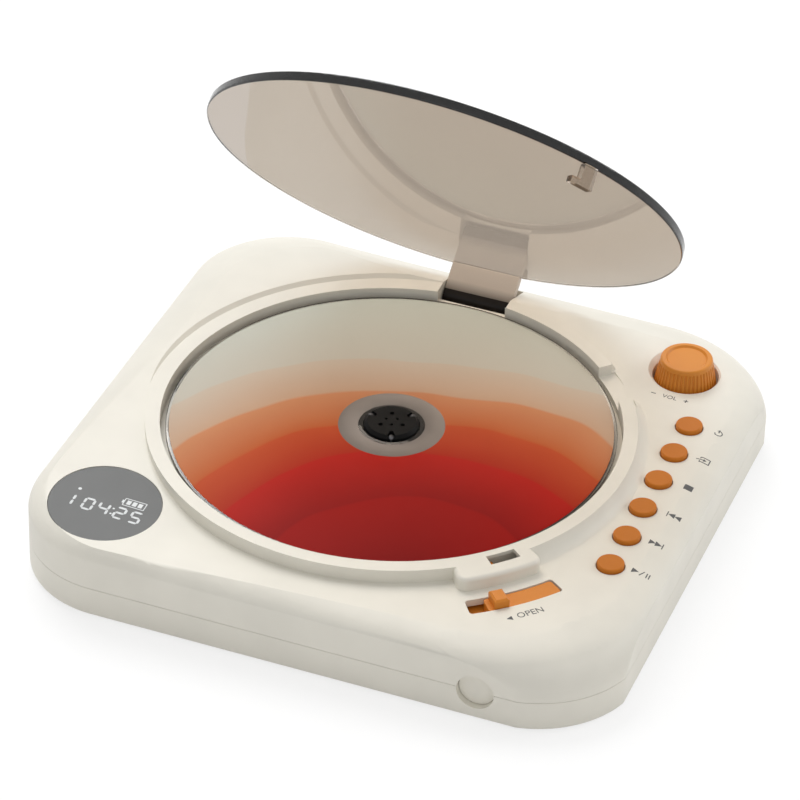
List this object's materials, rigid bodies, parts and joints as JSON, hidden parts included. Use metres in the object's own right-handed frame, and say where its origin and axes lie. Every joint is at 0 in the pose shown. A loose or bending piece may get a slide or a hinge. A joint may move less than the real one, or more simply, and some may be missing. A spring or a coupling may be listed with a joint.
{
  "type": "disc player",
  "caption": "Flat square disc player with a round smoked lid that lifts on a rear hinge, a row of buttons, a knob and a slide latch; lies flat or hangs on a wall.",
  "frame": {"origin": "on the back face under the disc axis, midway between the two keyholes", "axes": "+Z out of the back face towards the disc, +Y towards the lid hinge, which is up on a wall, +X towards the row of buttons"},
  "size_m": [0.1656, 0.1585, 0.1316],
  "materials": {
    "cream_shell": "satin",
    "orange": "satin",
    "smoked_clear": "gloss",
    "display_grey": "gloss",
    "disc_print": "gloss",
    "black_plastic": "satin",
    "white_plastic": "satin",
    "rubber": "matte",
    "bright_steel": "satin",
    "dark_screws": "satin",
    "circuit_board": "satin",
    "chip_black": "matte",
    "battery_wrap": "satin",
    "speaker_black": "satin",
    "lens_glass": "gloss"
  },
  "bodies": {
    "case": {"shell_top": "cream_shell", "shell_bottom": "cream_shell", "display_lens": "display_grey", "display_module": "black_plastic", "display_board": "circuit_board", "jack_cover": "cream_shell", "feet": "rubber", "case_screws": "dark_screws", "hinge_pin": "bright_steel", "hinge_spring": "bright_steel", "latch_keeper": "black_plastic", "keeper_screw": "dark_screws", "key_board": "circuit_board", "key_screws": "dark_screws", "key_switches": "black_plastic", "encoder_body": "bright_steel", "volume_board": "circuit_board", "volume_screws": "dark_screws", "spindle_motor": "bright_steel", "traverse_chassis": "black_plastic", "guide_rods": "bright_steel", "gear_axle": "bright_steel", "feed_motor": "bright_steel", "dampers": "rubber", "damper_screws": "dark_screws", "main_board": "circuit_board", "board_screws": "dark_screws", "board_chips": "chip_black", "battery": "battery_wrap", "speaker_left": "speaker_black", "speaker_right": "speaker_black", "usb_socket": "bright_steel", "usb_board": "circuit_board", "audio_jack": "black_plastic"},
    "lid": {"lid_panel": "smoked_clear", "hinge_arm": "smoked_clear", "lid_hook": "smoked_clear"},
    "latch": {"latch_slider": "orange", "latch_spring": "bright_steel"},
    "volume_press": {"encoder_plunger": "bright_steel"},
    "volume": {"volume_knob": "orange", "encoder_shaft": "bright_steel"},
    "spindle": {"turntable": "black_plastic", "turntable_pad": "rubber", "hub_cap": "black_plastic", "chuck_balls": "bright_steel", "spindle_shaft": "bright_steel"},
    "compact_disc": {"disc": "disc_print"},
    "sled": {"pickup_sled": "black_plastic", "objective_lens": "lens_glass", "sled_rack": "black_plastic"},
    "feed_wheel": {"feed_gear": "white_plastic"},
    "feed_drive": {"motor_pinion": "white_plastic", "feed_motor_shaft": "bright_steel"},
    "key_play_body": {"key_play": "orange"},
    "key_next_body": {"key_next": "orange"},
    "key_previous_body": {"key_previous": "orange"},
    "key_stop_body": {"key_stop": "orange"},
    "key_source_body": {"key_source": "orange"},
    "key_power_body": {"key_power": "orange"}
  },
  "joints": [
    {"name": "lid_hinge", "type": "hinge", "parent": "case", "child": "lid", "pos_m": [0, 0.0706, 0.0167], "axis": [-1, 0, 0], "range_deg": [-52.2, 0], "stiffness_Nm_per_rad": 0.03, "springref_deg": 68.75},
    {"name": "latch_slide", "type": "hinge", "parent": "case", "child": "latch", "pos_m": [0, 0, 0.0174], "axis": [0, 0, -1], "range_deg": [0, 2.2], "stiffness_Nm_per_rad": 1.8, "springref_deg": -1.15},
    {"name": "volume_push", "type": "slide", "parent": "case", "child": "volume_press", "axis": [0, 0, 1], "range_m": [-0.0005, 0], "stiffness_N_per_m": 2500, "springref_m": 0.0003},
    {"name": "volume_turn", "type": "hinge", "parent": "volume_press", "child": "volume", "pos_m": [0.0642, 0.0553, 0.02], "axis": [0, 0, 1], "continuous": true},
    {"name": "disc_spin", "type": "hinge", "parent": "case", "child": "spindle", "pos_m": [0, 0, 0.02], "axis": [0, 0, -1], "continuous": true},
    {"name": "disc_lift", "type": "slide", "parent": "spindle", "child": "compact_disc", "axis": [0, 0, 1], "range_m": [0, 0.012]},
    {"name": "sled_slide", "type": "slide", "parent": "case", "child": "sled", "axis": [-1, 0, 0], "range_m": [0, 0.033]},
    {"name": "feed_wheel_turn", "type": "hinge", "parent": "case", "child": "feed_wheel", "pos_m": [-0.033, -0.0278, 0.006], "axis": [0, 0, 1], "range_deg": [0, 394]},
    {"name": "feed_motor_turn", "type": "hinge", "parent": "case", "child": "feed_drive", "pos_m": [-0.02169, -0.03911, 0.006], "axis": [0, 0, 1], "range_deg": [-1182, 0]},
    {"name": "key_play_push", "type": "slide", "parent": "case", "child": "key_play_body", "axis": [0, 0, 1], "range_m": [-0.0005, 0], "stiffness_N_per_m": 400, "springref_m": 0.0004},
    {"name": "key_next_push", "type": "slide", "parent": "case", "child": "key_next_body", "axis": [0, 0, 1], "range_m": [-0.0005, 0], "stiffness_N_per_m": 400, "springref_m": 0.0004},
    {"name": "key_previous_push", "type": "slide", "parent": "case", "child": "key_previous_body", "axis": [0, 0, 1], "range_m": [-0.0005, 0], "stiffness_N_per_m": 400, "springref_m": 0.0004},
    {"name": "key_stop_push", "type": "slide", "parent": "case", "child": "key_stop_body", "axis": [0, 0, 1], "range_m": [-0.0005, 0], "stiffness_N_per_m": 400, "springref_m": 0.0004},
    {"name": "key_source_push", "type": "slide", "parent": "case", "child": "key_source_body", "axis": [0, 0, 1], "range_m": [-0.0005, 0], "stiffness_N_per_m": 400, "springref_m": 0.0004},
    {"name": "key_power_push", "type": "slide", "parent": "case", "child": "key_power_body", "axis": [0, 0, 1], "range_m": [-0.0005, 0], "stiffness_N_per_m": 400, "springref_m": 0.0004}
  ],
  "couplings": [
    {"joint": "feed_wheel_turn", "follows": "sled_slide", "rad_per_m": 208.33},
    {"joint": "feed_motor_turn", "follows": "sled_slide", "rad_per_m": -625}
  ]
}
